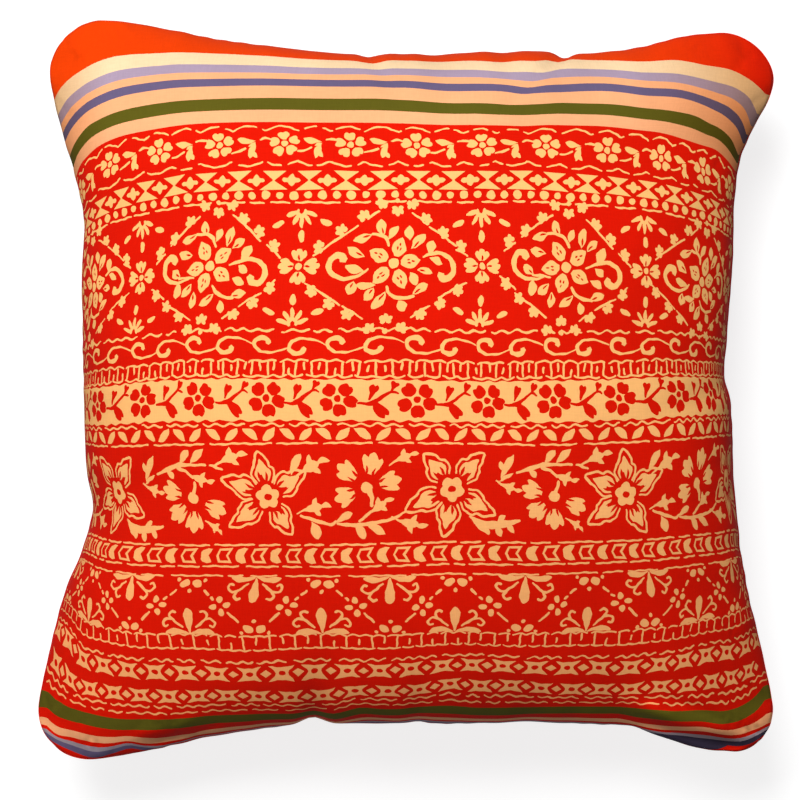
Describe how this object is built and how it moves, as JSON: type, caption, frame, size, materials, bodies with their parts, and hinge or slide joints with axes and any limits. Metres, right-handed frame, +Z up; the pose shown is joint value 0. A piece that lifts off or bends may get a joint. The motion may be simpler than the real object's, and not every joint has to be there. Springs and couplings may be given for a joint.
{
  "type": "filled cushion cover",
  "caption": "Square filled cushion in a printed cotton cover with a plain red back, knife-edge seam, rounded corners and drawn-in sides.",
  "frame": {"origin": "on the surface it lies on, under the middle of its outline", "axes": "+Z up through the printed face, +Y towards the printed face's upper side with the plain red margin, +X towards its right side"},
  "size_m": [0.4392, 0.4424, 0.1645],
  "materials": {
    "printed_cotton": "matt plain-weave cotton, red ground printed in cream with peach, lilac, slate and olive stripes",
    "plain_cotton": "matt plain-weave cotton, dyed one red"
  },
  "bodies": {
    "root": {"front_panel": "printed_cotton", "back_panel": "plain_cotton"}
  },
  "joints": []
}
